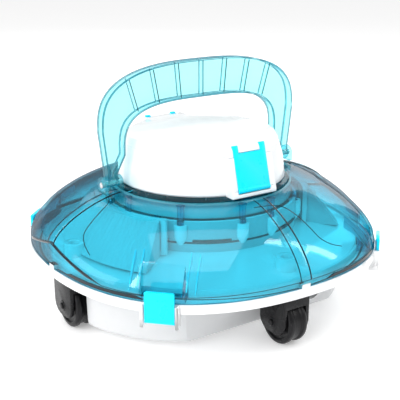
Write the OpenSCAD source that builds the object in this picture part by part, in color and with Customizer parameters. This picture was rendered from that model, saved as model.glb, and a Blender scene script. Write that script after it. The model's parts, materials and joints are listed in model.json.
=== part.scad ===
// Cordless pool cleaner: a clear-domed floor robot on four wheels.
// X runs along the handle's pivot, Y is the way it rolls, Z is up from the floor.

/* [Body] */
// Mean radius of the rim, seen from above
rim_r = 185; // [180:1:190]
// How far the rim's four corners stand out of a circle
corner_out = 5; // [3:0.5:6]
// Height of the line where the dome meets the rim
rim_z = 68; // [67:0.5:70]
// Height of the white rim band
rim_h = 9; // [8:0.5:10]
// Height of the dome's skirt at the corners, above the rim
skirt_h = 7; // [6:0.5:9]
// Extra height of the skirt on the two pivot sides
skirt_rise = 20; // [10:1:24]
// Wall of the clear dome
dome_wall = 2.5; // [2:0.25:3]
// Wall of the white mouldings
wall = 3; // [2.5:0.25:3.5]

/* [Pod] */
// Radius of the pod at its base
pod_r = 90.5; // [89:0.5:92]
// Radius of the pod at its shoulder
pod_top_r = 79; // [77:1:81]
// Height of the pod's base
pod_z = 138; // [137:0.5:140]
// Height of the pod's shoulder
pod_top_z = 187; // [184:1:189]
// Rise of the lid's crown above the shoulder
crown_h = 5; // [4:1:8]
// Width of the flat blocks that carry the pod latches
block_w = 54; // [50:1:58]

/* [Handle] */
// Height of the pivot axis
pivot_z = 144; // [143:0.5:146]
// Half width of the arch, outside
arch_out = 120.5; // [118:0.5:123]
// Half width of the arch, inside
arch_in = 95; // [94:0.5:97]
// Height of the top of the arch
arch_top_z = 262; // [256:1:266]
// Depth of the arch at its top
arch_depth = 39.5; // [34:0.5:42]
// Width of the flanges along the arch's two edges
flange_w = 11; // [10:1:16]
// Ribs across the arch
arch_ribs = 7; // [5:2:9]

/* [Wheels] */
// Radius of each wheel
wheel_r = 24; // [22:0.5:25]
// Width of each wheel
wheel_w = 22; // [20:1:23]
// Distance of the side wheels from the middle
side_wheel_x = 154; // [153:0.5:155]
// Distance of the front and rear wheels from the middle
end_wheel_y = 148; // [146:1:150]
// Radius of the axle pins
axle_r = 2.5; // [2:0.25:3]

/* [Latches] */
// Width of the rim latches
rim_latch_w = 28; // [26:1:30]
// Height of the rim latches' pins
rim_pin_z = 52; // [51:0.5:53]
// Width of the pod latches
pod_latch_w = 39; // [36:1:40]

/* [Hidden] */

$fn = 96;
// Gap between pieces of different bodies
gap = 0.4;
// Radial clearance of a pin in a hole that turns on it
run = 0.05;
// Longest cut
far = 500;

// Places and levels shared by several pieces
deck_z = rim_z - rim_h;
deck_h = 3;
tray_r = 172.6;
floor_z = 8;
flat_y = 114;
lobe_r = 132;
lobe_x = 26;
ring_r = 103.5;
ring_top_z = 118;
dome_in_r = 103;
dome_edge_z = pod_z - 3;
post_r = 3.3;
post_in_r = 99.5;
post_angles = [for (q = [0:90:270]) for (d = [10, 45, 80]) q + d];
pump_x = 62;
shell_z = rim_z + 0.3;
corners = [45:90:315];
axle_z = wheel_r;
ear_in = wheel_w / 2 + 0.6;
ear_t = 4;
ear_half = 19;

// Plan of the rim: a circle drawn out at its four corners
function plan_r(a, r, out = corner_out) = r - out * cos(4 * a);
module plan(r) polygon([for (i = [0:119]) let (a = 3 * i) plan_r(a, r) * [cos(a), sin(a)]]);

// Height of the skirt's top edge round the dome: low at the corners, rising to the pivot sides
function from_x(a) = min(abs(((a % 180) + 180) % 180), 180 - abs(((a % 180) + 180) % 180));
function crease_z(a) = rim_z + skirt_h + skirt_rise * max(0, 1 - from_x(a) / 26);

// Dome profile above the skirt: x is 1 at the skirt and 0 at the pod
function dome_x(k) = 1 - pow(k, 1.35);
function dome_rise(x) = pow(max(0, 1 - pow(x, 1.45)), 0.64);
function dome_point(a, k, inset) = let (x = dome_x(k), r = plan_r(a, rim_r - 1) - inset,
    r0 = dome_in_r - inset / 2) [r0 + (r - r0) * x,
    crease_z(a) - inset * 0.7 + (dome_edge_z - crease_z(a) - inset * 0.3) * dome_rise(x)];

// Closed solid under the dome's outer surface, or under its inner one
module dome_body(inset, bottom) {
    steps = 72;
    rows = 9;
    rim = [for (i = [0:steps - 1]) let (a = i * 360 / steps, r = plan_r(a, rim_r - 1) - inset)
        [r * cos(a), r * sin(a), bottom]];
    rings = [for (j = [0:rows]) for (i = [0:steps - 1]) let (a = i * 360 / steps,
        p = dome_point(a, j / rows, inset)) [p[0] * cos(a), p[0] * sin(a), p[1]]];
    points = concat(rim, rings);
    sides = [for (j = [0:rows]) for (i = [0:steps - 1]) let (n = (i + 1) % steps, b = j * steps,
        c = b + steps) each [[b + i, c + i, c + n], [b + i, c + n, b + n]]];
    polyhedron(points, concat([[for (i = [0:steps - 1]) i]], sides,
        [[for (i = [steps - 1:-1:0]) (rows + 1) * steps + i]]));
}

module at_corners() for (a = corners) rotate(a) children();
module tube(r, inner, h) difference() {
    cylinder(r = r, h = h);
    translate([0, 0, -1]) cylinder(r = inner, h = h + 2);
}
module x_rod(r, x0, x1) translate([x0, 0, 0]) rotate([0, 90, 0]) cylinder(r = r, h = x1 - x0, $fn = 48);
module y_rod(r, y0, y1) translate([0, y1, 0]) rotate([90, 0, 0]) cylinder(r = r, h = y1 - y0, $fn = 64);
module box(x0, x1, y0, y1, z0, z1) translate([x0, y0, z0]) cube([x1 - x0, y1 - y0, z1 - z0]);

// ---- Chassis ----

// Tub of the lower hull, drawn in by the wall's thickness: a round lobe on each side
// between flat front and rear walls, with its bottom edge rounded
module tub(inset, top) intersection() {
    for (s = [-1, 1]) translate([s * lobe_x, 0, 0]) rotate_extrude(angle = 360)
        polygon([[0, floor_z + inset], [lobe_r - 5, floor_z + inset],
            [lobe_r - 2 - inset * 0.6, floor_z + 1.2 + inset * 0.8],
            [lobe_r - 0.5 - inset * 0.9, floor_z + 3.5 + inset * 0.4], [lobe_r - inset, floor_z + 7],
            [lobe_r + 1 - inset, top], [0, top]]);
    rotate([90, 0, 90]) linear_extrude(2 * far, center = true)
        polygon([for (s = [-1, 1]) each s < 0 ? [[-flat_y + inset, top], [-flat_y + inset, floor_z + 3],
            [-flat_y + 2.5 + inset, floor_z + inset]] : [[flat_y - 2.5 - inset, floor_z + inset],
            [flat_y - inset, floor_z + 3], [flat_y - inset, top]]]);
}

module well_boxes(grow, top) for (a = [0, 180]) rotate(a)
    box(side_wheel_x - ear_in - ear_t - 2 - grow, far, -27 - grow, 27 + grow, -1, top);

module lower_hull() color("whitesmoke") difference() {
    union() {
        tub(0, deck_z);
        translate([0, 0, deck_z - deck_h]) linear_extrude(deck_h) plan(rim_r - 7);
    }
    difference() {
        tub(wall, deck_z + 1);
        well_boxes(wall, far);
    }
    well_boxes(0, deck_z - deck_h);
    for (a = [0, 180]) rotate(a) box(duct_x0, duct_x1, -duct_half, duct_half, 0, 20);
    for (s = [-1, 1]) translate([s * pump_x, 0, jet_z]) y_rod(jet_bore + 2.2, s > 0 ? -far : 80, s > 0 ? -80 : far);
    at_bosses() translate([0, 0, deck_z - 5]) cylinder(r = 2.2, h = 10, $fn = 32);
}

module rim_ring() color("white") difference() {
    union() {
        translate([0, 0, deck_z]) linear_extrude(rim_h) plan(rim_r);
        at_corners() for (s = [-1, 1]) scale([1, s, 1])
            box(184, 195, rim_latch_w / 2 + 0.8, rim_latch_w / 2 + 4, rim_pin_z - 6, rim_z);
        for (a = [0:90:270]) rotate(a) box(plan_r(0, rim_r) - 6, plan_r(0, rim_r) - 0.5, -5, 5, rim_z - 1, rim_z + 4);
    }
    translate([0, 0, deck_z - 1]) cylinder(r = tray_r + 0.2, h = rim_h + 9);
    translate([0, 0, rim_z - 2]) difference() {
        cylinder(r = 177.2, h = 5);
        translate([0, 0, -1]) cylinder(r = 174.8, h = 7);
        for (a = [0:90:270]) rotate(a) box(170, 190, -6, 6, -2, 8);
    }
    at_corners() at_rim_pin() cylinder(r = 1.2, h = 60, center = true, $fn = 32);
}
rim_pin_r = 191.2;
module at_rim_pin() translate([rim_pin_r, 0, rim_pin_z]) rotate([90, 0, 0]) children();

// Four lengths of soft cord gasket in the rim's groove
module dome_seal() color("dimgray") translate([0, 0, rim_z - 2]) difference() {
    tube(177, 175, 2.1);
    for (a = [0:90:270]) rotate(a) box(165, 190, -6.2, 6.2, -2, 8);
}

module rim_latch_pins() color("silver") at_corners() at_rim_pin()
    cylinder(r = 1.2, h = rim_latch_w + 8, center = true, $fn = 32);

// Sloping floor of the debris chamber, with the hollow bosses over the wheels
module inner_tray() color("white") difference() {
    union() {
        rotate_extrude() polygon([[ring_r - 4, 82], [ring_r - 4, 86], [ring_r + 1, 86], [tray_r - 4, 74],
            [tray_r - 2.4, 76], [tray_r, 76], [tray_r, deck_z], [tray_r - 2.4, deck_z],
            [tray_r - 2.4, 70], [ring_r + 1, 82]]);
        at_bosses() translate([0, 0, deck_z]) cylinder(r = 10, h = 31, $fn = 64);
    }
    at_bosses() {
        translate([0, 0, deck_z + 7]) cylinder(r = 5, h = 40, $fn = 48);
        translate([0, 0, deck_z - 1]) cylinder(r = 2.2, h = 40, $fn = 32);
    }
    for (a = [0, 180]) rotate(a)
        box(duct_x0 - 0.2, duct_x1 + 0.2, -duct_half - 0.2, duct_half + 0.2, 60, 90);
    at_corners() box(pocket_in - 2.4, tray_r + 1, -pocket_half - 2.4, pocket_half + 2.4, rim_z, far);
}

module at_bosses() for (a = [0, 180]) rotate(a) {
    translate([side_wheel_x, 0, 0]) children();
    rotate(90) translate([end_wheel_y, 0, 0]) children();
}

// Drum under the pod, with cups for the dome's posts and a water slot between them
module ring_wall() color("white") difference() {
    union() {
        translate([0, 0, 86]) tube(ring_r, ring_r - wall, ring_top_z - 86);
        for (a = post_angles) rotate(a) translate([post_in_r + 2.5, 0, 0]) {
            translate([0, 0, 100]) cylinder(r = 7, h = 14, $fn = 48);
            translate([0, 0, 93]) cylinder(r1 = 3, r2 = 7, h = 7, $fn = 48);
        }
    }
    for (a = [0:90:270]) for (d = [16.5, 51.5]) rotate(a + d)
        translate([0, 0, 95]) rotate_extrude(angle = 22) translate([ring_r - 5, 0]) square([8, 4]);
    for (a = [0, 180]) rotate(a - 5)
        translate([0, 0, 95]) rotate_extrude(angle = 10) translate([ring_r - 5, 0]) square([8, 12]);
    for (a = post_angles) rotate(a) translate([post_in_r + 2.5, 0, 104]) cylinder(r = post_r + gap, h = 30, $fn = 32);
}

// Curved filter cassette standing on the tray, and the mesh that it holds
cassette_in = 110.5;
cassette_out = 115.5;
module filter_arc(r0, r1, z0, z1, half) rotate(-half) rotate_extrude(angle = 2 * half)
    translate([r0, z0]) square([r1 - r0, z1 - z0]);
module filter_frame() color("white") difference() {
    filter_arc(cassette_in, cassette_out, 85.2, 122, 39);
    for (i = [-2.5:2.5]) rotate(i * 12.4) filter_arc(cassette_in - 1, cassette_out + 1, 89, 118, 5.4);
    filter_arc(cassette_in + 1.7, cassette_out - 1.7, 86.5, 120.5, 38);
}
module filter_mesh() color("lightcyan") filter_arc(cassette_in + 1.8, cassette_out - 1.8, 86.6, 120.4, 37.9);
module filter_frame_right() filter_frame();
module filter_frame_left() rotate(180) filter_frame();
module filter_mesh_right() filter_mesh();
module filter_mesh_left() rotate(180) filter_mesh();

// Inlet passage up through the hull and the tray, with the flap that shuts on its top
duct_x0 = 119.5;
duct_x1 = 133;
duct_half = 29;
duct_top_z = 88;
duct_wall = 2.4;
pin_x = duct_x1 + 2;
pin_z = duct_top_z + 1.6;
module at_flap_pin() translate([pin_x, 0, pin_z]) rotate([90, 0, 0]) children();
module intake_duct() color("gainsboro") difference() {
    union() {
        box(duct_x0, duct_x1, -duct_half, duct_half, floor_z, duct_top_z);
        for (s = [-1, 1]) translate([0, s * (duct_half - 2), 0])
            box(duct_x1 - 1, pin_x + 3, -2, 2, duct_top_z - 1.5, duct_top_z + 4.5);
    }
    box(duct_x0 + duct_wall, duct_x1 - duct_wall, -duct_half + duct_wall, duct_half - duct_wall, 0, far);
    at_flap_pin() cylinder(r = 1.2, h = 80, center = true, $fn = 32);
    box(duct_x0 - 1, far, -duct_half + 4.4, duct_half - 4.4, duct_top_z, far);
}
module intake_flap() color("deepskyblue") difference() {
    union() {
        box(duct_x0, pin_x, -duct_half + 5, duct_half - 5, duct_top_z + gap, duct_top_z + gap + 1.6);
        at_flap_pin() cylinder(r = 2.2, h = 2 * duct_half - 10, center = true, $fn = 48);
    }
    at_flap_pin() cylinder(r = 1.2 + run, h = 80, center = true, $fn = 32);
}
module flap_pins() color("silver") for (a = [0, 180]) rotate(a)
    at_flap_pin() cylinder(r = 1.2, h = 2 * duct_half, center = true, $fn = 32);
module intake_duct_right() intake_duct();
module intake_duct_left() rotate(180) intake_duct();
module intake_flap_right() intake_flap();
module intake_flap_left() rotate(180) intake_flap();

// Pump outlet: a shroud round the impeller, on a pipe that turns out through the flat end wall
jet_z = 30;
jet_bore = 12;
shroud_z = 78;
module pump_shroud() color("gainsboro") translate([pump_x, 0, shroud_z]) difference() {
    cylinder(r = 29, h = 24);
    translate([0, 0, 2]) cylinder(r = 27, h = 30);
    translate([0, 0, -1]) cylinder(r = jet_bore, h = 10);
}
module jet_nozzle() color("gainsboro") translate([pump_x, 0, 0]) difference() {
    union() {
        translate([0, 0, 16]) cylinder(r = jet_bore + 2, h = shroud_z - 16);
        translate([0, 0, jet_z]) y_rod(jet_bore + 2, -flat_y - 4, 0);
        translate([0, 0, jet_z]) y_rod(jet_bore + 4.5, -flat_y + wall + 0.2, -flat_y + wall + 3);
    }
    translate([0, 0, 18]) cylinder(r = jet_bore, h = 90);
    translate([0, 0, jet_z]) y_rod(jet_bore, -far, 0);
}
module pump_shroud_front() pump_shroud();
module pump_shroud_rear() rotate(180) pump_shroud();
module jet_nozzle_front() jet_nozzle();
module jet_nozzle_rear() rotate(180) jet_nozzle();

module ballast_plates() color("dimgray") for (s = [-1, 1]) difference() {
    translate([0, s * 68, floor_z + wall]) linear_extrude(8) square([60, 40], center = true);
    for (x = [-20, 20]) translate([x, s * 68, 0]) cylinder(r = 2.5, h = 30, $fn = 32);
}

// ---- Wheels ----

// One bracket about its own wheel: two ears, a top plate and a crossbar at each end
module ear_outline() {
    side = [[ear_half, deck_z - deck_h], [ear_half, 25], [ear_half - 1.6, 19.5], [ear_half - 6, 15], [7, 13]];
    polygon(concat(side, [for (i = [len(side) - 1:-1:0]) [-side[i][0], side[i][1]]]));
}
module bracket() color("black") difference() {
    union() {
        for (s = [-1, 1]) scale([s, 1, 1]) {
            translate([ear_in, 0, 0]) rotate([90, 0, 90]) linear_extrude(ear_t) ear_outline();
            translate([0, 0, axle_z]) x_rod(5.5, ear_in, ear_in + ear_t + 0.8);
        }
        box(-ear_in - 1, ear_in + 1, -ear_half, ear_half, deck_z - deck_h - 5, deck_z - deck_h);
        for (s = [-1, 1]) scale([1, s, 1])
            box(-ear_in - 1, ear_in + 1, ear_half - 1.5, ear_half, 42, deck_z - deck_h);
        }
    translate([0, 0, axle_z]) x_rod(axle_r, -40, 40);
    translate([0, 0, 40]) cylinder(r = 1.9, h = 30, $fn = 32);
}
module axles() color("silver") for (i = [0:3])
    translate(wheel_place(i) + [0, 0, axle_z]) x_rod(axle_r, -ear_in - ear_t - 0.6, ear_in + ear_t + 0.6);
module wheel() color([0.15, 0.15, 0.15]) translate([0, 0, axle_z]) rotate([0, 90, 0]) {
    h = wheel_w / 2;
    // From the middle out to one face: the drum, the raised tyre, the dished side and the hub
    side = [[wheel_r - 2, h - 7.5], [wheel_r, h - 5.5], [wheel_r, h - 2.5], [wheel_r - 0.8, h - 0.8],
        [wheel_r - 2.5, h], [wheel_r - 5, h], [wheel_r - 6, h - 2], [8, h - 2], [8, h], [axle_r + run, h]];
    rotate_extrude() polygon(concat(side, [for (i = [len(side) - 1:-1:0]) [side[i][0], -side[i][1]]]));
}
function wheel_place(i) = [[0, -end_wheel_y, 0], [0, end_wheel_y, 0], [-side_wheel_x, 0, 0], [side_wheel_x, 0, 0]][i];
module bracket_front() translate(wheel_place(0)) bracket();
module bracket_rear() translate(wheel_place(1)) bracket();
module bracket_left() translate(wheel_place(2)) bracket();
module bracket_right() translate(wheel_place(3)) bracket();
module wheel_front() translate(wheel_place(0)) wheel();
module wheel_rear() translate(wheel_place(1)) wheel();
module wheel_left() translate(wheel_place(2)) wheel();
module wheel_right() translate(wheel_place(3)) wheel();

module bracket_screws() color("silver") at_bosses() difference() {
    union() {
        translate([0, 0, 52]) cylinder(r = 1.8, h = 14, $fn = 32);
        translate([0, 0, 66]) cylinder(r = 4.2, h = 3, $fn = 48);
    }
    translate([0, 0, 67.5]) cylinder(r = 1.6, h = 5, $fn = 6);
}

// ---- Rim latches ----

module rim_latch() color("cyan") difference() {
    w = rim_latch_w / 2;
    union() {
        box(rim_pin_r, rim_pin_r + 2.8, -w, w, rim_pin_z, 80);
        at_rim_pin() cylinder(r = 2.8, h = 2 * w, center = true, $fn = 48);
        box(rim_pin_r - 1, rim_pin_r + 2.8, -w + 1, w - 1, 77.5, 80.5);
    }
    at_rim_pin() cylinder(r = 1.2 + run, h = 60, center = true, $fn = 32);
}
module rim_latch_front_left() rotate(225) rim_latch();
module rim_latch_front_right() rotate(315) rim_latch();
module rim_latch_rear_left() rotate(135) rim_latch();
module rim_latch_rear_right() rotate(45) rim_latch();

// ---- Dome ----

pocket_in = 172;
pocket_half = 20;
module dome_cover() color("deepskyblue", 0.5) difference() {
    union() {
        difference() {
            dome_body(0, shell_z);
            difference() {
                dome_body(dome_wall, shell_z - 1);
                at_corners() box(pocket_in - 2, 200, -pocket_half - 2, pocket_half + 2, 60, 112);
            }
        }
        translate([0, 0, dome_edge_z - 0.5]) cylinder(r = pod_r + 5, h = 3.5);
        for (s = [-1, 1]) box(min(s * 97, s * 124), max(s * 97, s * 124), -12, 12, 126, dome_edge_z + 0.5);
        for (a = post_angles) rotate(a) translate([post_in_r + 2.5, 0, 106]) cylinder(r = post_r, h = 30, $fn = 32);
    }
    at_corners() {
        box(pocket_in, 200, -pocket_half, pocket_half, rim_z + 6, 120);
        box(pocket_in, 180, -pocket_half, pocket_half, 60, rim_z + 4);
    }
    translate([0, 0, 60]) cylinder(r = 80, h = 90);
    for (a = [0:90:270]) rotate(a) box(170, 184.5, -5.5, 5.5, 60, rim_z + 4.5);
    at_pod_screws() translate([0, 0, 130]) cylinder(r = 1.65, h = 20, $fn = 24);
}

module clevis() color("aqua", 0.6) difference() {
    union() for (x = [99.2, 116.4]) {
        box(x, x + 4.4, -8.4, 8.4, dome_edge_z + 0.5, pivot_z);
        translate([0, 0, pivot_z]) x_rod(8.4, x, x + 4.4);
    }
    translate([0, 0, pivot_z]) x_rod(3, 80, 140);
}
module clevis_right() clevis();
module clevis_left() mirror([1, 0, 0]) clevis();
module pivot_pins() color("silver") for (s = [-1, 1]) translate([0, 0, pivot_z])
    x_rod(3, s > 0 ? 99 : -121, s > 0 ? 121 : -99);

// ---- Handle ----

// Half of an arch's edge: a superellipse above the shoulder height z0, then a straight leg
function arch_edge(a, b, z0, foot, n) = concat([[foot, pivot_z + 2], [foot, pivot_z + 11]],
    [for (i = [0:15]) let (t = 6 * i) [a * pow(cos(t), 2 / n), z0 + b * pow(sin(t), 2 / n)]]);
function mirrored(p) = [for (i = [len(p) - 1:-1:0]) [-p[i][0], p[i][1]]];
out_z0 = 198;
in_z0 = 173;
function arch_outer(d) = arch_edge(arch_out - d, arch_top_z - out_z0 - d, out_z0, 115.4 - d, 2.8);
function arch_inner(d) = arch_edge(arch_in + d, arch_top_z - arch_depth - in_z0 + d, in_z0, 104.6 + d, 3.3);
module arch_half(p) polygon(concat(p, mirrored(p)));
module arch_web(d) difference() {
    arch_half(arch_outer(d));
    arch_half(arch_inner(d));
}
module extrude_y(t) rotate([90, 0, 0]) translate([0, 0, -t / 2]) linear_extrude(t) children();
module handle() color("aqua", 0.5) difference() {
    union() {
        extrude_y(3) arch_web(0.5);
        extrude_y(flange_w) difference() {
            arch_half(arch_outer(0));
            arch_half(arch_outer(1.8));
        }
        extrude_y(flange_w) difference() {
            arch_half(arch_inner(1.8));
            arch_half(arch_inner(0));
        }
        for (i = [0:arch_ribs - 1]) arch_rib(i - (arch_ribs - 1) / 2);
        for (s = [-1, 1]) translate([0, 0, pivot_z]) x_rod(7, s > 0 ? 104 : -116, s > 0 ? 116 : -104);
    }
    translate([0, 0, pivot_z]) x_rod(3 + run, -140, 140);
}
// Rib number i across the arch, fanning out from the middle
module arch_rib(i) extrude_y(8) intersection() {
    arch_web(1);
    translate([i * 26.7, 222]) rotate(-i * 5.5) translate([-0.6, -60]) square([1.2, 120]);
}

// ---- Pod ----

module pod_solid(inset) rotate_extrude() polygon([[0, pod_z + inset], [pod_r - 1.5 - inset, pod_z + inset],
    [pod_r - inset, pod_z + 2 + inset / 2], [pod_r - 3 - inset, pod_z + 24],
    [pod_top_r + 3 - inset, pod_top_z - 7 - inset / 2], [pod_top_r - inset, pod_top_z - 2 - inset],
    [pod_top_r - 4 - inset, pod_top_z - inset], [pod_top_r - 30, pod_top_z + crown_h * 0.6 - inset],
    [40, pod_top_z + crown_h * 0.85 - inset], [0, pod_top_z + crown_h - inset]]);
// Flat block at the front of the pod, leaning in towards its top
block_y0 = 97;
block_y1 = 85.5;
module pod_block(back, inset) rotate([90, 0, 90]) linear_extrude(block_w - 2 * inset, center = true)
    polygon([[-back, pod_z + inset], [-block_y0 + inset, pod_z + inset], [-block_y0 + inset, pod_z + 3],
        [-block_y1 + inset, pod_top_z - 3], [-block_y1 + 2 + inset, pod_top_z - inset], [-back, pod_top_z - inset]]);
module pod_full(inset) {
    pod_solid(inset);
    for (a = [0, 180]) rotate(a) pod_block(60, inset);
}
// Frame of one pod latch: turned so that local y = 0 is the block's sloping face
latch_tilt = atan((block_y0 - block_y1) / (pod_top_z - pod_z - 6));
module on_block() translate([0, -block_y0, pod_z + 3]) rotate([-latch_tilt, 0, 0]) children();
latch_h = 48.5;
part_z = 177;
// The lid's tooth between the two ears of a closed latch, and the room round it
tooth_half = 13;
tooth_drop = 7;
tooth_gap = 0.5;

module port_boss(r, a, z, r0, r1) rotate(a) translate([0, 0, z]) x_rod(r, r0, r1);
port_z = 157;
port_r = pod_r - 0.5;
socket_a = 38;
button_a = 58;

module pod_housing() color("white") difference() {
    union() {
        difference() {
            intersection() {
                pod_full(0);
                box(-far, far, -far, far, 0, part_z);
            }
            intersection() {
                pod_full(wall);
                box(-far, far, -80.5, 80.5, 0, far);
            }
        }
        difference() {
            union() {
                port_boss(13, socket_a, port_z, port_r - 12, port_r);
                port_boss(9, button_a, port_z, port_r - 12, port_r);
            }
            pod_solid(4);
        }
    }
    for (a = [0, 180]) rotate(a) on_block() {
        box(-pod_latch_w / 2 - 0.4, pod_latch_w / 2 + 0.4, -5, 5.4, 0.5, 80);
        translate([0, 1.2, 4]) x_rod(1.25, -pod_latch_w / 2 - 4, pod_latch_w / 2 + 4);
    }
    port_boss(9, socket_a, port_z, 60, 110);
    port_boss(6.2, button_a, port_z, 60, 110);
    for (s = [-1, 1]) translate([s * pump_x, 0, 130]) cylinder(r = 10, h = 20, $fn = 48);
    at_pod_screws() translate([0, 0, 130]) cylinder(r = 1.65, h = 20, $fn = 24);
}
module at_pod_screws() for (a = [15, 60, 120, 165, 195, 240, 300, 345]) rotate(a) translate([83.5, 0, 0]) children();

module pod_lid() color("white") difference() {
    union() {
        intersection() {
            pod_full(0);
            box(-far, far, -far, far, part_z + gap, far);
        }
        translate([0, 0, part_z - 4]) tube(pod_top_r - 1, pod_top_r - 3.5, 8);
    }
    intersection() {
        pod_solid(wall);
        cylinder(r = pod_top_r - 3.5, h = far);
    }
    for (a = [0, 180]) rotate(a) on_block() {
        box(-pod_latch_w / 2 - 0.4, pod_latch_w / 2 + 0.4, -5, 5.4, 0.5, latch_h - tooth_drop);
        for (s = [-1, 1]) scale([s, 1, 1]) box(tooth_half, pod_latch_w / 2 + 0.4, -5, 5.4, 20, 80);
    }
}

module lid_seal() color("dimgray") translate([0, 0, part_z - 3.5]) tube(pod_top_r + 0.2, pod_top_r - 1, 2);

module pod_screws() color("silver") at_pod_screws() {
    translate([0, 0, dome_edge_z - 2]) cylinder(r = 1.65, h = pod_z + wall - dome_edge_z + 2, $fn = 24);
    translate([0, 0, pod_z + wall]) cylinder(r = 2.8, h = 1.8, $fn = 32);
}

module pod_latch_pins() color("silver") for (a = [0, 180]) rotate(a) on_block()
    translate([0, 1.2, 4]) x_rod(1.25, -pod_latch_w / 2 - 3.8, pod_latch_w / 2 + 3.8);
module pod_latch() color("cyan") on_block() difference() {
    w = pod_latch_w / 2;
    union() {
        box(-w, w, -0.6, 2.6, 4, latch_h + tooth_gap);
        translate([0, 1.2, 4]) x_rod(2.8, -w, w);
    }
    translate([0, 1.2, 4]) x_rod(1.25 + run, -60, 60);
    box(-tooth_half - tooth_gap, tooth_half + tooth_gap, -5, 8, latch_h - tooth_drop - tooth_gap, 80);
}
module pod_latch_front() pod_latch();
module pod_latch_rear() rotate(180) pod_latch();

module battery_pack() color("royalblue") translate([0, 0, pod_z + wall])
    for (x = [-1.5:1.5]) translate([x * 19.2, 0, 9.4]) y_rod(9.3, -32.5, 32.5);
module circuit_board() color("seagreen") translate([0, 0, pod_z + wall + 19.5]) difference() {
    box(-42, 42, -36, 36, 0, 1.6);
    for (x = [-38, 38]) for (y = [-32, 32]) translate([x, y, -5]) cylinder(r = 1.6, h = 20, $fn = 24);
}

// ---- Pumps ----

module pump_motor() color("gray") difference() {
    union() {
        translate([pump_x, 0, 112]) cylinder(r = 15, h = pod_z - 2.5 - 112);
        translate([pump_x, 0, 108]) cylinder(r1 = 8, r2 = 12, h = 4);
        translate([pump_x, 0, pod_z - 2.5]) cylinder(r = 9.6, h = 12);
    }
    translate([pump_x, 0, 100]) cylinder(r = 2 + run, h = 30, $fn = 48);
}
module pump_shaft() color("silver") translate([pump_x, 0, 84]) cylinder(r = 2, h = 44, $fn = 48);
module impeller() color("deepskyblue") translate([pump_x, 0, 84]) difference() {
    union() {
        cylinder(r = 6, h = 16, $fn = 48);
        for (a = [0:72:288]) rotate(a) translate([5, 0, 8]) rotate([35, 0, 0])
            box(0, 15.5, -0.8, 0.8, -7, 7);
    }
    translate([0, 0, -1]) cylinder(r = 2, h = 30, $fn = 48);
}
module pump_motor_front() pump_motor();
module pump_motor_rear() rotate(180) pump_motor();
module pump_shaft_front() pump_shaft();
module pump_shaft_rear() rotate(180) pump_shaft();
module impeller_front() impeller();
module impeller_rear() rotate(180) impeller();

// ---- Charging socket, cap and button ----

module charging_socket() color("dimgray") rotate(socket_a) translate([0, 0, port_z]) difference() {
    union() {
        x_rod(9, port_r - 14, port_r - 1);
        x_rod(12, port_r - 18, port_r - 14);
    }
    x_rod(4, port_r - 11, port_r + 20);
}
module charging_cap() color("dimgray") rotate(socket_a) translate([0, 0, port_z]) union() {
    x_rod(11, port_r + gap, port_r + 2.6);
    box(port_r + gap, port_r + 2.6, -4, 4, 9, 14);
    translate([port_r + 1.5, 0, 14]) rotate([90, 0, 0]) cylinder(r = 1.1, h = 8, center = true, $fn = 24);
}
module power_button() color("deepskyblue") rotate(button_a) translate([0, 0, port_z]) union() {
    x_rod(5.8, port_r - 10, port_r + 1.5);
    x_rod(7.5, port_r - 16, port_r - 14.5);
    x_rod(3, port_r - 15, port_r - 9);
}

lower_hull();
rim_ring();
dome_seal();
inner_tray();
ring_wall();
filter_frame_left();
filter_frame_right();
filter_mesh_left();
filter_mesh_right();
intake_duct_left();
intake_duct_right();
intake_flap_left();
intake_flap_right();
flap_pins();
pump_shroud_front();
pump_shroud_rear();
jet_nozzle_front();
jet_nozzle_rear();
bracket_front();
bracket_rear();
bracket_left();
bracket_right();
axles();
wheel_front();
wheel_rear();
wheel_left();
wheel_right();
bracket_screws();
ballast_plates();
rim_latch_pins();
rim_latch_front_left();
rim_latch_front_right();
rim_latch_rear_left();
rim_latch_rear_right();
dome_cover();
clevis_left();
clevis_right();
pivot_pins();
handle();
pod_housing();
pod_lid();
lid_seal();
pod_screws();
pod_latch_pins();
pod_latch_front();
pod_latch_rear();
battery_pack();
circuit_board();
pump_motor_front();
pump_motor_rear();
pump_shaft_front();
pump_shaft_rear();
impeller_front();
impeller_rear();
charging_socket();
charging_cap();
power_button();
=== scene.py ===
import json
import math

import bmesh
import bpy
from mathutils import Matrix, Vector

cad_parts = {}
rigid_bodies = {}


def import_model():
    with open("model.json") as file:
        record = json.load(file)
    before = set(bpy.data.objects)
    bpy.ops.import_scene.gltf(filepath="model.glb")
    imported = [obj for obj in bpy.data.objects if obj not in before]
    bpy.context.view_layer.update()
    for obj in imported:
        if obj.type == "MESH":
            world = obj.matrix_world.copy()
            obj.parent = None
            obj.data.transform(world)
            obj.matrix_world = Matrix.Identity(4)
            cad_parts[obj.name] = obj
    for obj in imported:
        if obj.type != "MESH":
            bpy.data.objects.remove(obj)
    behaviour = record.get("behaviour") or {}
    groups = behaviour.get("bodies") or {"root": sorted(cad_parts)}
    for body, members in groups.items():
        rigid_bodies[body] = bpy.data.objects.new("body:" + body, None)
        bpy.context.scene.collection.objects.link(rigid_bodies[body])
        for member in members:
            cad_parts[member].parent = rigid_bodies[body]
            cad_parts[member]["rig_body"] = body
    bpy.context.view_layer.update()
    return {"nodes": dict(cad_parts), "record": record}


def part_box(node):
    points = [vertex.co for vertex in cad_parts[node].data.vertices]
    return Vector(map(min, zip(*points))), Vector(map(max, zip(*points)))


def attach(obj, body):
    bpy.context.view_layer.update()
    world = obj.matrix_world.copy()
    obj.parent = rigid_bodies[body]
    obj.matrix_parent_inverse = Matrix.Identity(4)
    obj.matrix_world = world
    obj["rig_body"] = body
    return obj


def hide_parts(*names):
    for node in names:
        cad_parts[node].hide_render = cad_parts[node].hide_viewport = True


# Looks of the cordless pool cleaner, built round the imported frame. Shapes are written in millimetres and
# turned to metres when a mesh is made. Lights and material scales are in metres.
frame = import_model()
nodes = frame["nodes"]
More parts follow.
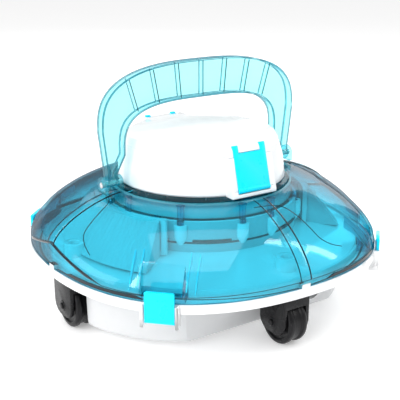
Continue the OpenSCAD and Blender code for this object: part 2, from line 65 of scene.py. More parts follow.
slots = {row["node"]: row["material_slot"] for row in frame["record"]["subparts"]}
body_of_node = {n: o["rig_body"] for n, o in nodes.items()}
MM = 0.001
scene = bpy.context.scene

# ---- Camera: place in millimetres, angles in degrees ----

CAMERA_PLACE = (-500.6, -748.3, 399.8)
CAMERA_YAW = 33.72
CAMERA_PITCH = -18.03
CAMERA_LENS = 77.77
camera_data = bpy.data.cameras.new("camera")
camera_data.lens = CAMERA_LENS
camera_data.sensor_width = 36
camera_data.clip_end = 50
camera = bpy.data.objects.new("camera", camera_data)
camera.location = Vector(CAMERA_PLACE) * MM
camera.rotation_euler = (math.radians(90 + CAMERA_PITCH), 0, math.radians(-CAMERA_YAW))
scene.collection.objects.link(camera)
scene.camera = camera
scene.view_settings.view_transform = "Standard"
scene.view_settings.look = "None"
scene.cycles.transparent_max_bounces = 32
scene.cycles.max_bounces = 16


# ---- Materials ----

def tree(name):
    """A new material: itself, its output node, a function that adds nodes, and one that links them."""
    mat = bpy.data.materials.new(name)
    mat.use_nodes = True
    mat.node_tree.nodes.clear()
    out = mat.node_tree.nodes.new("ShaderNodeOutputMaterial")

    def add(kind, **inputs):
        n = mat.node_tree.nodes.new("ShaderNode" + kind)
        for key, value in inputs.items():
            socket = n.inputs[key.replace("_", " ")]
            if isinstance(value, bpy.types.NodeSocket):
                mat.node_tree.links.new(value, socket)
            else:
                socket.default_value = value
        return n
    return mat, out, add, mat.node_tree.links.new


def noise(add, coords, scale, detail, rough=0.55):
    n = add("TexNoise", Vector=coords, Scale=scale, Detail=detail, Roughness=rough)
    return n.outputs["Fac"]


def ranged(add, value, low, high, from_low=0.3, from_high=0.7):
    n = add("MapRange", Value=value)
    n.inputs["From Min"].default_value = from_low
    n.inputs["From Max"].default_value = from_high
    n.inputs["To Min"].default_value = low
    n.inputs["To Max"].default_value = high
    return n.outputs["Result"]


# Places of the colour sockets of a Mix node, whose names are shared with its number sockets
COLOUR_A, COLOUR_B, COLOUR_RESULT = 6, 7, 2


def tinted(add, link, factor, dark, light):
    n = add("Mix")
    n.data_type = "RGBA"
    link(factor, n.inputs["Factor"])
    n.inputs[COLOUR_A].default_value = (*dark, 1)
    n.inputs[COLOUR_B].default_value = (*light, 1)
    return n.outputs[COLOUR_RESULT]


def shade(colour, by):
    return tuple(min(1.0, max(0.0, c * by)) for c in colour)


GLOSS_SPREAD = 0.05


def plastic(name, colour, rough, vary=0.03, grain=1800, grain_depth=0.03, wave_depth=0.015,
            coat=0.0, metal=0.0, specular=0.5, pores=None):
    """Moulded plastic, rubber or metal: colour clouds, uneven gloss, surface grain and faint sink marks."""
    mat, out, add, link = tree(name)
    coords = add("TexCoord").outputs["Object"]
    shader = add("BsdfPrincipled", Metallic=metal, Coat_Weight=coat)
    shader.inputs["Coat Roughness"].default_value = 0.05
    shader.inputs["Specular IOR Level"].default_value = specular
    clouds = noise(add, coords, 22, 4)
    link(tinted(add, link, ranged(add, clouds, 0, 1), shade(colour, 1 - vary), shade(colour, 1 + vary)),
         shader.inputs["Base Color"])
    wear = noise(add, coords, 70, 5)
    link(ranged(add, wear, rough - GLOSS_SPREAD, rough + GLOSS_SPREAD), shader.inputs["Roughness"])
    sink = add("Bump", Strength=wave_depth, Distance=0.002, Height=noise(add, coords, 45, 2))
    fine = add("Bump", Strength=grain_depth, Distance=0.0004, Height=noise(add, coords, grain, 2))
    link(sink.outputs["Normal"], fine.inputs["Normal"])
    last = fine
    if pores:
        dots = add("TexVoronoi", Vector=coords, Scale=pores)
        last = add("Bump", Strength=0.25, Distance=0.0002, Height=dots.outputs["Distance"])
        link(fine.outputs["Normal"], last.inputs["Normal"])
    link(last.outputs["Normal"], shader.inputs["Normal"])
    link(shader.outputs["BSDF"], out.inputs["Surface"])
    return mat


# Share of light that a clear wall mirrors seen straight on and edge on, and how late it rises between
MIRROR_LOW, MIRROR_HIGH, MIRROR_POWER = 0.04, 0.26, 4.5


def clear(name, tint, edge, body, body_share):
    """Clear tinted plastic: what is behind shows through, darker where the wall is seen edge on."""
    mat, out, add, link = tree(name)
    coords = add("TexCoord").outputs["Object"]
    ripple = add("Bump", Strength=0.03, Distance=0.004, Height=noise(add, coords, 18, 2))
    grain = add("Bump", Strength=0.02, Distance=0.0003, Height=noise(add, coords, 900, 2))
    link(ripple.outputs["Normal"], grain.inputs["Normal"])
    weight = add("LayerWeight", Blend=0.5)
    link(grain.outputs["Normal"], weight.inputs["Normal"])
    through = add("BsdfTransparent")
    link(tinted(add, link, ranged(add, weight.outputs["Facing"], 0, 1, 0.48, 0.98), tint, edge),
         through.inputs["Color"])
    solid = add("BsdfPrincipled", Roughness=0.25)
    clouds = ranged(add, noise(add, coords, 30, 3), 0, 1)
    link(tinted(add, link, clouds, shade(body, 0.9), shade(body, 1.1)), solid.inputs["Base Color"])
    link(grain.outputs["Normal"], solid.inputs["Normal"])
    inner = add("MixShader")
    inner.inputs[0].default_value = body_share
    link(through.outputs[0], inner.inputs[1])
    link(solid.outputs[0], inner.inputs[2])
    shine = add("BsdfGlossy", Roughness=0.03)
    link(grain.outputs["Normal"], shine.inputs["Normal"])
    glance = add("LayerWeight", Blend=0.5)
    link(grain.outputs["Normal"], glance.inputs["Normal"])
    power = add("Math")
    power.operation = "POWER"
    power.inputs[1].default_value = MIRROR_POWER
    link(glance.outputs["Facing"], power.inputs[0])
    mirror = ranged(add, power.outputs[0], MIRROR_LOW, MIRROR_HIGH, 0.0, 1.0)
    outer = add("MixShader")
    link(mirror, outer.inputs[0])
    link(inner.outputs[0], outer.inputs[1])
    link(shine.outputs[0], outer.inputs[2])
    link(outer.outputs[0], out.inputs["Surface"])
    return mat


def woven(name, colour, pitch):
    """Fine woven net: two crossed sets of threads, pitch metres apart."""
    mat, out, add, link = tree(name)
    coords = add("TexCoord").outputs["Object"]
    shader = add("BsdfPrincipled", Roughness=0.6, Sheen_Weight=0.3)
    top = add("Math")
    top.operation = "MAXIMUM"
    for i, direction in enumerate(("X", "Z")):
        w = add("TexWave", Vector=coords, Scale=1 / pitch)
        w.bands_direction = direction
        link(w.outputs["Fac"], top.inputs[i])
    link(tinted(add, link, top.outputs[0], shade(colour, 0.45), colour), shader.inputs["Base Color"])
    bump = add("Bump", Strength=0.5, Distance=0.0005, Height=top.outputs[0])
    link(bump.outputs["Normal"], shader.inputs["Normal"])
    link(shader.outputs[0], out.inputs["Surface"])
    return mat


WHITE = (0.86, 0.87, 0.88)
MATERIALS = {
    "white_gloss": plastic("white_gloss", WHITE, 0.2, vary=0.012, coat=0.4, grain_depth=0.015),
    # A darker, bluish copy of the white: painted shade for the inside of the drum wall and for the skirt
    # under the dome's edge
    "shaded_white": plastic("shaded_white", (0.50, 0.58, 0.60), 0.3, vary=0.04, grain_depth=0.02),
    "hull_grey": plastic("hull_grey", (0.64, 0.65, 0.66), 0.36, vary=0.03, pores=1400),
    "filter_mesh": woven("filter_mesh", (0.82, 0.88, 0.9), 0.0016),
    "seal_rubber": plastic("seal_rubber", (0.03, 0.03, 0.033), 0.65, vary=0.12, grain_depth=0.2),
    "bracket_black": plastic("bracket_black", (0.004, 0.004, 0.005), 0.27, vary=0.1, specular=0.24,
                             pores=2600),
    "wheel_black": plastic("wheel_black", (0.004, 0.004, 0.005), 0.30, vary=0.1, grain_depth=0.12,
                           specular=0.24, pores=1800),
    "steel": plastic("steel", (0.62, 0.62, 0.63), 0.28, metal=1.0, grain=2600, grain_depth=0.1),
    "latch_cyan": plastic("latch_cyan", (0.001, 0.70, 0.95), 0.30, vary=0.03, specular=0.25),
    "dome_clear": clear("dome_clear", (0.46, 0.90, 0.97), (0.004, 0.11, 0.19), (0.02, 0.42, 0.60), 0.04),
    "handle_clear": clear("handle_clear", (0.66, 0.955, 0.98), (0.02, 0.34, 0.45), (0.12, 0.78, 0.90), 0.08),
    "blue_trim": plastic("blue_trim", (0.02, 0.40, 0.75), 0.25, coat=0.3),
    "battery_wrap": plastic("battery_wrap", (0.03, 0.08, 0.35), 0.3, coat=0.4, wave_depth=0.06),
    "board_green": plastic("board_green", (0.02, 0.20, 0.07), 0.3, vary=0.2, pores=500),
    "motor_can": plastic("motor_can", (0.45, 0.45, 0.46), 0.35, metal=1.0, grain=2200, grain_depth=0.15),
    "socket_black": plastic("socket_black", (0.015, 0.015, 0.016), 0.4, vary=0.1),
    "ballast_iron": plastic("ballast_iron", (0.12, 0.11, 0.105), 0.6, vary=0.15, metal=0.6, grain_depth=0.3),
    # Light cyan: painted highlight for the ribs beside the latch pockets inside the dome
    "rib_highlight_cyan": plastic("rib_highlight_cyan", (0.25, 0.80, 0.92), 0.12, vary=0.1, coat=0.6),
    # Dark teal: painted shade along the handle's flange edges, where the clear plastic looks dark edge on
    "edge_shade_teal": plastic("edge_shade_teal", (0.005, 0.14, 0.19), 0.3, vary=0.15, specular=0.3),
    # Near-black: painted shade for the dark lines on the clear dome and handle, and the own colour of the
    # skirt gaskets
    "gasket_and_shade_line_dark": plastic("gasket_and_shade_line_dark", (0.001, 0.010, 0.016), 0.2, vary=0.1, specular=0.4),
}
for node_name, node in nodes.items():
    finish = "bracket_black" if node_name == "bracket_screws" else slots[node_name]
    node.data.materials.clear()
    node.data.materials.append(MATERIALS[finish])
    for face in node.data.polygons:
        face.material_index = 0


# ---- Mesh helpers, lengths in millimetres ----

def piece(name, verts, faces):
    """A new object with those corners and faces, its faces turned outwards."""
    mesh = bpy.data.meshes.new(name)
    mesh.from_pydata([tuple(c * MM for c in v) for v in verts], [], faces)
    obj = bpy.data.objects.new(name, mesh)
    scene.collection.objects.link(obj)
    b = bmesh.new()
    b.from_mesh(mesh)
    bmesh.ops.recalc_face_normals(b, faces=b.faces)
    b.to_mesh(mesh)
    b.free()
    return obj


def loft(name, rings, closed=False):
    """Joins rings of points, each a closed loop, into one solid; closed joins the last ring to the first."""
    n = len(rings[0])
    verts = [p for ring in rings for p in ring]
    faces = []
    for j in range(len(rings) if closed else len(rings) - 1):
        a, b = j * n, ((j + 1) % len(rings)) * n
        faces += [(a + i, a + (i + 1) % n, b + (i + 1) % n, b + i) for i in range(n)]
    if not closed:
        faces += [tuple(range(n)), tuple(reversed(range((len(rings) - 1) * n, len(rings) * n)))]
    return piece(name, verts, faces)


def lathe(name, profile, steps=192, centre=(0, 0, 0)):
    """Turns a closed outline of (radius, height) points round Z."""
    rings = [[(centre[0] + r * math.cos(a), centre[1] + r * math.sin(a), centre[2] + z) for r, z in profile]
             for a in (2 * math.pi * i / steps for i in range(steps))]
    return loft(name, rings, closed=True)


def prism(name, outline, axis, low, high):
    """Straight bar with that outline. The outline is in the two other axes, in X, Y, Z order."""
    def place(u, v, w):
        return {"x": (w, u, v), "y": (u, w, v), "z": (u, v, w)}[axis]
    return loft(name, [[place(u, v, w) for u, v in outline] for w in (low, high)])


def block(x0, x1, y0, y1, z0, z1):
    return prism("block", [(x0, y0), (x1, y0), (x1, y1), (x0, y1)], "z", z0, z1)


def circle(r, u, v, steps):
    angles = [2 * math.pi * i / steps for i in range(steps)]
    return [(u + r * math.cos(a), v + r * math.sin(a)) for a in angles]


def rod(axis, r, u, v, low, high, steps=64):
    return prism("rod", circle(r, u, v, steps), axis, low, high)


def turned(obj, degrees):
    obj.data.transform(Matrix.Rotation(math.radians(degrees), 4, "Z"))
    return obj


def tube(name, path, radius, steps, closed=False):
    """Round bar along a path, of one radius or of a list with one for each point."""
    points = [Vector(p) for p in path]
    radii = radius if isinstance(radius, list) else [radius] * len(points)
    rings = []
    for i, (p, r) in enumerate(zip(points, radii)):
        before = points[i - 1] if i or closed else p
        after = points[(i + 1) % len(points)] if i + 1 < len(points) or closed else p
        ahead = (after - before).normalized()
        side = ahead.cross(Vector((0, 0, 1)))
        side = side.normalized() if side.length > 1e-6 else Vector((1, 0, 0))
        up = side.cross(ahead)
        rings.append([tuple(p + side * u + up * v) for u, v in circle(r, 0, 0, steps)])
    return loft(name, rings, closed=closed)


def smooth_line(points, steps=8):
    """Runs a soft curve through points."""
    out = []
    for i in range(len(points) - 1):
        p0, p1 = Vector(points[max(0, i - 1)]), Vector(points[i])
        p2, p3 = Vector(points[i + 1]), Vector(points[min(len(points) - 1, i + 2)])
        for j in range(steps):
            t = j / steps
            out.append(0.5 * (2 * p1 + (p2 - p0) * t + (2 * p0 - 5 * p1 + 4 * p2 - p3) * t * t
                              + (3 * p1 - p0 - 3 * p2 + p3) * t ** 3))
    return out + [Vector(points[-1])]


def joined(name, objs):
    """One object from several closed shells that don't touch."""
    b = bmesh.new()
    for o in objs:
        b.from_mesh(o.data)
        bpy.data.objects.remove(o)
    mesh = bpy.data.meshes.new(name)
    b.to_mesh(mesh)
    b.free()
    obj = bpy.data.objects.new(name, mesh)
    scene.collection.objects.link(obj)
    return obj


def settle(obj):
    """Applies the modifiers."""
    bpy.context.view_layer.update()
    mesh = bpy.data.meshes.new_from_object(obj.evaluated_get(bpy.context.evaluated_depsgraph_get()))
    obj.modifiers.clear()
    old, obj.data = obj.data, mesh
    bpy.data.meshes.remove(old)
    return obj


def combine(obj, others, operation):
    """Cuts, joins or crosses a solid with others, one after another, and removes them."""
    for other in others:
        m = obj.modifiers.new("combine", "BOOLEAN")
        m.operation = operation
        m.solver = "MANIFOLD"
        m.object = other
        settle(obj)
        bpy.data.objects.remove(other)
    return obj


def cut(obj, *others):
    return combine(obj, others, "DIFFERENCE")


def fuse(obj, *others):
    return combine(obj, others, "UNION")


def rounded(obj, width, segments=3, angle=30):
    """Rounds the sharp edges, and smooths the rest."""
    b = bmesh.new()
    b.from_mesh(obj.data)
    bmesh.ops.remove_doubles(b, verts=b.verts, dist=1e-6)
    bmesh.ops.dissolve_limit(b, angle_limit=math.radians(0.6), verts=b.verts, edges=b.edges)
    b.to_mesh(obj.data)
    b.free()
    if width:
        m = obj.modifiers.new("round", "BEVEL")
        m.width = width * MM
        m.segments = segments
        m.limit_method = "ANGLE"
        m.angle_limit = math.radians(angle)
        m.use_clamp_overlap = True
        settle(obj)
    return smooth(obj)


def smooth(obj, angle=35):
    obj.data.shade_smooth()
    obj.data.set_sharp_from_angle(angle=math.radians(angle))
    return obj


def dress(obj, body, slot_name, *stands_for, material=None):
    """Gives a piece its body and its material, the slot's own unless another is named, and hides the CAD
    nodes it replaces.
    """
    obj.data.materials.clear()
    obj.data.materials.append(MATERIALS[material or slot_name])
    for face in obj.data.polygons:
        face.material_index = 0
    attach(obj, body)
    if stands_for:
        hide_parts(*stands_for)
    return obj


def refined(node_name, width, segments=2, angle=30):
    """A copy of a CAD node's surface with its edges rounded, which stands for the node."""
    obj = bpy.data.objects.new(node_name + "_fine", nodes[node_name].data.copy())
    scene.collection.objects.link(obj)
    rounded(obj, width, segments, angle)
    return dress(obj, body_of_node[node_name], slots[node_name], node_name)


def second_finish(obj, material, chosen):
    """Gives another material to the faces that chosen picks by their middle, in millimetres."""
    obj.data.materials.append(MATERIALS[material])
    for face in obj.data.polygons:
        if chosen(face.center / MM):
            face.material_index = 1


# ---- Dome ----

RIM_R, CORNER_OUT, RIM_Z = 185, 5, 68
DOME_FOOT_R, DOME_FOOT_Z = RIM_R - 1, RIM_Z + 0.3
DOME_IN_R, DOME_EDGE_Z, DOME_WALL = 103, 135, 2.5
# The crease over the upright skirt: its height over the rim, and how it climbs towards the two ends
SKIRT_H, CREASE_CLIMB, CREASE_SPAN = 7, 20, 26
# Powers that shape the crown, from crease to inner edge
CROWN_ROWS, CROWN_FALL, CROWN_ROUND = 1.35, 1.45, 0.64
# Rows of points crowd towards the crease
ROW_CROWD = 1.25
RIB_HALF, RIB_RISE, RIB_FADE = 5.6, 1.3, 0.7
QUARTERS = (0, 90, 180, 270)
CORNERS = (45, 135, 225, 315)
POCKET_IN, POCKET_HALF = 172, 20
POD_R = 90.5
FAR_R = 200


def turn(a):
    """Cosine and sine of an angle in degrees."""
    return math.cos(math.radians(a)), math.sin(math.radians(a))


def plan_r(a, r):
    """Radius of the rounded square outline at angle a."""
    return r - CORNER_OUT * math.cos(math.radians(4 * a))


def from_end(a):
    """Angle between a and the nearer end of the X axis."""
    return min(a % 180, 180 - a % 180)


def crease_z(a):
    return RIM_Z + SKIRT_H + CREASE_CLIMB * max(0, 1 - from_end(a) / CREASE_SPAN)


def dome_point(a, k, inset=0.0, rib=0.0):
    """Point of the crown at angle a. k runs from 0 at the crease to 1 at the inner edge."""
    x = 1 - k ** CROWN_ROWS
    rise = max(0.0, 1 - x ** CROWN_FALL) ** CROWN_ROUND
    inner_r = DOME_IN_R - inset / 2
    r = inner_r + (plan_r(a, DOME_FOOT_R) - inset - inner_r) * x
    z = crease_z(a) - inset * 0.7 + (DOME_EDGE_Z - crease_z(a) - inset * 0.3) * rise
    to_axis = abs(math.sin(math.radians((a + 45) % 90 - 45))) * r
    lift = rib * min(1.0, max(0.0, (RIB_HALF + RIB_FADE - to_axis) / (2 * RIB_FADE)))
    r, z = r + lift * 0.5 * x, z + lift * (0.9 if k else 0.0)
    return (r * math.cos(math.radians(a)), r * math.sin(math.radians(a)), z)


def on_dome(a, r):
    """Point of the dome's outer surface at that angle and radius."""
    x = (r - DOME_IN_R) / (plan_r(a, DOME_FOOT_R) - DOME_IN_R)
    return Vector(dome_point(a, max(1e-4, 1 - x) ** (1 / CROWN_ROWS)))


def dome_angles():
    """Angles round the dome, close together over the ribs."""
    near = [0.35 * i for i in range(-14, 15)]
    far = [near[-1] + (90 - 2 * near[-1]) * i / 44 for i in range(1, 44)]
    return [q + a for q in QUARTERS for a in near + far]


def dome_solid(name, inset, bottom, rib=0.0, rows=26):
    angles = dome_angles()
    base = [(plan_r(a, DOME_FOOT_R) - inset, a) for a in angles]
    rings = [[(r * math.cos(math.radians(a)), r * math.sin(math.radians(a)), bottom) for r, a in base]]
    rings += [[dome_point(a, (j / rows) ** ROW_CROWD, inset, rib) for a in angles] for j in range(rows + 1)]
    return loft(name, rings)


def pocket(in_r, out_r, half, low, high, corner):
    return turned(block(in_r, out_r, -half, half, low, high), corner)


def make_dome():
    dome = dome_solid("dome_shell", 0, DOME_FOOT_Z, RIB_RISE)
    hollow = dome_solid("hollow", DOME_WALL, DOME_FOOT_Z - 1)
    for corner in CORNERS:
        cut(hollow, pocket(POCKET_IN - 2, FAR_R, POCKET_HALF + 2, 60, 112, corner))
    cut(dome, hollow)
    for corner in CORNERS:
        cut(dome, pocket(POCKET_IN, FAR_R, POCKET_HALF, RIM_Z + 6, 120, corner),
            pocket(POCKET_IN, 180, POCKET_HALF, 60, RIM_Z + 4, corner))
    fuse(dome, rod("z", POD_R + 5, 0, 0, DOME_EDGE_Z - 0.5, DOME_EDGE_Z + 3, 192))
    cut(dome, rod("z", 80, 0, 0, 60, 150, 128))
    rounded(dome, 0.5, 2, 40)
    dress(dome, "dome", "dome_clear", "dome_cover")


def make_posts():
    """Screw posts that hang from the dome into the drum's cups."""
    outline = [(0.6, 106), (2.7, 106), (3.3, 106.8), (3.3, 131.5), (4.6, 133.4), (0.6, 133.4)]
    posts = []
    for quarter in QUARTERS:
        for d in (10, 45, 80):
            a = math.radians(quarter + d)
            posts.append(lathe("post", outline, 24, (102 * math.cos(a), 102 * math.sin(a), 0)))
    dress(smooth(joined("dome_posts", posts)), "dome", "dome_clear")


def rib_shade_lines():
    """A painted dark line of shade along both sides of each raised rib."""
    shade_lines = []
    for q in QUARTERS:
        for side in (-1, 1):
            line = []
            for j in range(33):
                k = (j / 32) ** ROW_CROWD
                p = Vector(dome_point(q, k))
                r = math.hypot(p.x, p.y)
                a = q + side * math.degrees(math.asin((RIB_HALF + 0.5) / r))
                line.append(Vector(dome_point(a, k, 0, RIB_RISE)) + Vector((0, 0, 0.1)))
            shade_lines.append(tube("shade_line", line, 0.7 if side > 0 else 0.5, 8))
    return shade_lines


# The panel line beside each rib, drawn as a painted dark line of shade: angles from the rib and distances
# from the middle
PANEL_LINE = [(-7, 115), (3, 117), (8, 124), (10, 138), (11, 152), (12, 162), (15, 169), (19, 174)]


def panel_lines():
    return [tube("shade_line", smooth_line([on_dome(q + a, r) for a, r in PANEL_LINE]), 0.42, 8) for q in QUARTERS]


def crease_line():
    """A painted dark line of shade along the crease, thicker where it climbs at the two ends, and sunk a
    little into the wall.
    """
    sunk, thin, thick, fade, thick_from = 0.7, 0.35, 1.1, 5, 25
    line, radii = [], []
    for a in range(360):
        line.append(Vector(dome_point(a, 0.0005, sunk)))
        radii.append(thin + thick * min(1, max(0, (thick_from - from_end(a)) / fade)))
    return tube("shade_line", line, radii, 8, closed=True)


def make_gaskets():
    """A dark gasket on the skirt between each rib and the next latch."""
    start, span, steps, low, high, depth = 9, 31, 32, 70.2, 70.8, 1.2
    gaskets = []
    for quarter in QUARTERS:
        rings = []
        for j in range(steps + 1):
            a = quarter + start + span * j / steps
            top = high + 2.8 * min(1.0, min(j, steps - j) / 3)
            r = plan_r(a, DOME_FOOT_R) + 0.25
            section = [(r, low), (r, top), (r - depth, top), (r - depth, low)]
            c, s = turn(a)
            rings.append([(q * c, q * s, z) for q, z in section])
        gaskets.append(loft("gasket", rings))
    dress(smooth(joined("skirt_gaskets", gaskets)), "dome", "seal_rubber", material="gasket_and_shade_line_dark")


def make_pocket_ribs():
    """Stiffening ribs inside the dome on both sides of each latch pocket, in a light cyan that paints the
    highlights on the pocket walls.
    """
    out_u, length, steps, under, half_w = 184.5, 26, 16, 3.4, 0.7
    ribs = []
    for corner in CORNERS:
        c, s = turn(corner)
        for v in (-31, -22.6, 22.6, 31):
            top, low = [], []
            for j in range(steps + 1):
                u = out_u - length * j / steps
                r, a = math.hypot(u, v), corner + math.degrees(math.atan2(v, u))
                z = on_dome(a, min(r, plan_r(a, DOME_FOOT_R) - 0.5)).z - under
                top.append((u - 2.4, z))
                low.append((u - 2.4, max(78.0, z - 3.0 - 6 * j / steps)))
            outline = top + list(reversed(low))
            rings = [[(u * c - w * s, u * s + w * c, z) for u, z in outline]
                     for w in (v - half_w, v + half_w)]
            ribs.append(loft("rib", rings))
    dress(smooth(joined("dome_ribs", ribs)), "dome", "dome_clear", material="rib_highlight_cyan")


make_dome()
make_posts()
# The rib, panel and crease lines are painted shade: dark tubes where the clear wall bends
shade_lines = rib_shade_lines() + panel_lines() + [crease_line()]
dress(smooth(joined("dome_shade_lines", shade_lines)), "dome", "dome_clear", material="gasket_and_shade_line_dark")
make_gaskets()
make_pocket_ribs()

# ---- Handle ----

PIVOT_Z, ARCH_TOP, ARCH_DEPTH, FLANGE, FLANGE_T = 144, 262, 39.5, 11, 1.8
# Half width, height where the turn starts, half width at the foot, and power of the round of each edge
OUTER_EDGE = (120.5, 198, 115.4, 2.8)
INNER_EDGE = (95, 173, 104.6, 3.3)
RIB_GAP, RIB_HALF_T, RIB_FAN, RIB_MID_Z = 26.7, 0.6, 5.5, 222
RIBS = range(-3, 4)


def arch_edge(a, b, z0, foot, n):
    right = [(foot, PIVOT_Z + 2), (foot, PIVOT_Z + 11)]
    turns = [math.radians(90 * i / 48) for i in range(49)]
    right += [(a * max(0.0, math.cos(t)) ** (2 / n), z0 + b * math.sin(t) ** (2 / n)) for t in turns]
    return right + [(-x, z) for x, z in reversed(right) if x > 1e-6]


def arch_outer(d):
    """The arch's outer edge, moved in by d."""
    half, z0, foot, n = OUTER_EDGE
    return arch_edge(half - d, ARCH_TOP - z0 - d, z0, foot - d, n)


def arch_inner(d):
    """The arch's inner edge, moved out by d."""
    half, z0, foot, n = INNER_EDGE
    return arch_edge(half + d, ARCH_TOP - ARCH_DEPTH - z0 + d, z0, foot + d, n)


def inside_arch(x, z, d=1.5):
    """True between the two flanges of the arch."""
    def within(edge, half, top):
        z0, n = edge[1], edge[3]
        return z < z0 or (abs(x) / half) ** n + ((z - z0) / (top - z0)) ** n < 1
    return within(OUTER_EDGE, OUTER_EDGE[0] - d, ARCH_TOP - d) and not within(
        INNER_EDGE, INNER_EDGE[0] + d, ARCH_TOP - ARCH_DEPTH + d)


def band(name, outer, inner, half):
    return prism(name, outer + list(reversed(inner)), "y", -half, half)


def cross_rib(i):
    """One cross rib of the arch, cut to the room between its edges."""
    t = math.radians(-i * RIB_FAN)
    c, s = math.cos(t), math.sin(t)
    corners = [(-RIB_HALF_T, -60), (RIB_HALF_T, -60), (RIB_HALF_T, 60), (-RIB_HALF_T, 60)]
    outline = [(i * RIB_GAP + u * c - v * s, RIB_MID_Z + u * s + v * c) for u, v in corners]
    return combine(prism("rib", outline, "y", -4, 4), [band("keep", arch_outer(1), arch_inner(1), 20)],
                   "INTERSECT")


def make_handle():
    handle = band("handle_arch", arch_outer(0.5), arch_inner(0.5), 1.5)
    fuse(handle, band("flange", arch_outer(0), arch_outer(FLANGE_T), FLANGE / 2),
         band("flange", arch_inner(FLANGE_T), arch_inner(0), FLANGE / 2))
    fuse(handle, *[cross_rib(i) for i in RIBS])
    fuse(handle, *[rod("x", 7, 0, PIVOT_Z, min(s * 104, s * 116), max(s * 104, s * 116)) for s in (-1, 1)])
    cut(handle, rod("x", 3.05, 0, PIVOT_Z, -140, 140))
    rounded(handle, 0.5, 2, 40)
    dress(handle, "handle", "handle_clear", "handle")


def make_handle_lines():
    """Painted dark lines of shade where the flanges and the cross ribs are seen edge on."""
    edges, rib_lines = [], []
    for outline in (arch_outer(0.3), arch_outer(1.5), arch_inner(1.5), arch_inner(0.3)):
        for side in (-1, 1):
            edges.append(tube("edge", [(x, side * (FLANGE / 2 - 0.05), z) for x, z in outline], 0.3, 6))
    for i in RIBS:
        t = math.radians(-i * RIB_FAN)
        for side in (-1, 1):
            line = [(i * RIB_GAP - v * math.sin(t), side * 4, RIB_MID_Z + v * math.cos(t))
                    for v in range(-60, 61, 2)]
            rib_lines.append(tube("edge", [p for p in line if inside_arch(p[0], p[2])], 0.42, 6))
    dress(smooth(joined("handle_edge_shade", edges)), "handle", "handle_clear", material="edge_shade_teal")
    dress(smooth(joined("handle_rib_shade_lines", rib_lines)), "handle", "handle_clear", material="gasket_and_shade_line_dark")


make_handle()
make_handle_lines()

# ---- Sloping filter screens over the two inlets ----

SCREEN_SPAN, SCREEN_STEPS, SCREEN_FOLD = 72, 60, 0.7


def make_screen(name, middle):
    """A folded sheet that slopes down and out from the drum, closed by a cheek at both ends."""
    rings = []
    for j in range(SCREEN_STEPS + 1):
        c, s = turn(middle + SCREEN_SPAN * (j / SCREEN_STEPS - 0.5))
        fold = SCREEN_FOLD if j % 2 else -SCREEN_FOLD
        deep = 0 if 1 < j < SCREEN_STEPS - 1 else 1
        section = [(116.2, 121.0), (119 + fold, 120.2), (150 + fold, 81.6), (151.5, 79.6), (149.5, 79.6),
                   (148 + fold - deep * 26, 81.2), (118 + fold - deep, 118.6 - deep * 34),
                   (116.2, 119.4 - deep * 34)]
        rings.append([(r * c, r * s, z) for r, z in section])
    dress(smooth(loft(name, rings), 20), "chassis", "filter_mesh")


make_screen("filter_screen_right", 0)
make_screen("filter_screen_left", 180)

# ---- Other pieces, with rounded edges ----

EDGE = {"rim_ring": 0.5, "pod_housing": 0.8, "pod_lid": 1.2, "lower_hull": 0.8, "inner_tray": 0.5,
        "ring_wall": 0.5, "charging_cap": 0.5, "power_button": 0.5, "clevis_left": 0.5, "clevis_right": 0.5}
ALSO_ROUNDED = ("pod_latch_", "rim_latch_", "bracket_", "wheel_")
for node_name in nodes:
    if node_name.startswith(ALSO_ROUNDED) and "pins" not in node_name and "screws" not in node_name:
        EDGE[node_name] = 0.5
made = {node_name: refined(node_name, width) for node_name, width in EDGE.items()}
# The inner faces of the drum wall get the darker white as painted shade
second_finish(made["ring_wall"], "shaded_white", lambda c: math.hypot(c.x, c.y) < 104.2 and c.z < 117.5)
groove = lathe("ring_groove", [(103.2, 94.4), (103.75, 94.6), (103.75, 96.6), (103.2, 96.8)], 180)
dress(smooth(groove), "chassis", "seal_rubber")
# The skirt round the pod under the dome's edge is white plastic, given the darker white as painted shade
skirt = lathe("pod_skirt", [(95.5, 119.0), (97.2, 119.0), (97.2, 134.3), (95.5, 134.3)], 180)
dress(smooth(skirt), "dome", "white_gloss", material="shaded_white")


def make_axle_caps():
    """A round cap over each end of the four axles, on the outside of its bracket."""
    outline = [(0.3, 0), (3.4, 0), (3.4, 1.0), (2.6, 1.7), (0.3, 1.9)]
    half_bracket = 16.4
    caps = []
    for n in ("front", "rear", "left", "right"):
        low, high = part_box("wheel_" + n)
        middle = (low + high) / 2 / MM
        for s in (-1, 1):
            cap = lathe("cap", outline, 40)
            place = Vector((middle.x + s * half_bracket, middle.y, middle.z)) * MM
            cap.data.transform(Matrix.Translation(place) @ Matrix.Rotation(math.radians(90 * s), 4, "Y"))
            caps.append(cap)
    dress(smooth(joined("axle_caps", caps)), "chassis", "bracket_black")


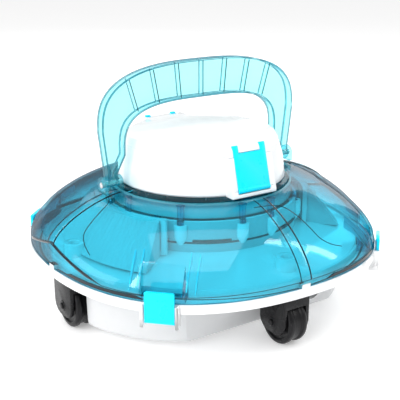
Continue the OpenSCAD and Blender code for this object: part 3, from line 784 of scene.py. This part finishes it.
make_axle_caps()
lip = lathe("lid_lip", [(79, 176.98), (82.6, 176.98), (82.5, 177.5), (79, 177.5)])
dress(smooth(lip), "lid", "white_gloss")

# ---- Floor and light: places, aims and sizes in metres, power in watts ----

FLOOR_HALF, FLOOR_GLOW, SKY = 9000, 0.28, 0.68
floor = piece("floor", [(x * FLOOR_HALF, y * FLOOR_HALF, 0) for x, y in ((-1, -1), (1, -1), (1, 1), (-1, 1))],
              [(0, 1, 2, 3)])
floor_finish = plastic("floor", (0.90, 0.90, 0.90), 0.6, vary=0.004, grain_depth=0.0, wave_depth=0.0)
floor.data.materials.append(floor_finish)
floor_shader = floor_finish.node_tree.nodes["Principled BSDF"]
floor_shader.inputs["Emission Color"].default_value = (1, 1, 1, 1)
floor_shader.inputs["Emission Strength"].default_value = FLOOR_GLOW

world = bpy.data.worlds.new("world")
scene.world = world
world.use_nodes = True
world.node_tree.nodes["Background"].inputs["Color"].default_value = (1, 1, 1, 1)
world.node_tree.nodes["Background"].inputs["Strength"].default_value = SKY


def softbox(name, place, aim, size, power):
    data = bpy.data.lights.new(name, "AREA")
    data.shape = "RECTANGLE"
    data.size, data.size_y = size
    data.energy = power
    lamp = bpy.data.objects.new(name, data)
    lamp.location = place
    lamp.rotation_euler = (Vector(aim) - Vector(place)).to_track_quat("-Z", "Y").to_euler()
    scene.collection.objects.link(lamp)


MIDDLE = (0, 0, 0.1)
softbox("top", (-0.2, -0.3, 2.0), (0, 0, 0), (1.6, 1.6), 14)
softbox("key", (-1.5, -0.9, 1.1), MIDDLE, (1.0, 1.0), 12)
softbox("fill", (1.3, -1.4, 0.9), MIDDLE, (1.2, 0.9), 1.5)
softbox("strip_left", (-1.1, -0.2, 0.9), MIDDLE, (0.12, 1.2), 5)
softbox("strip_right", (1.0, -0.7, 1.0), (0.1, 0, 0.1), (0.12, 1.2), 4)
softbox("far_right", (1.7, 1.2, 0.6), (0.1, 0, 0.1), (1.1, 0.9), 8)
softbox("far_left", (-1.9, 0.6, 0.6), MIDDLE, (0.9, 0.7), 4)
softbox("back", (0.6, 1.6, 1.2), MIDDLE, (1.2, 0.8), 5)
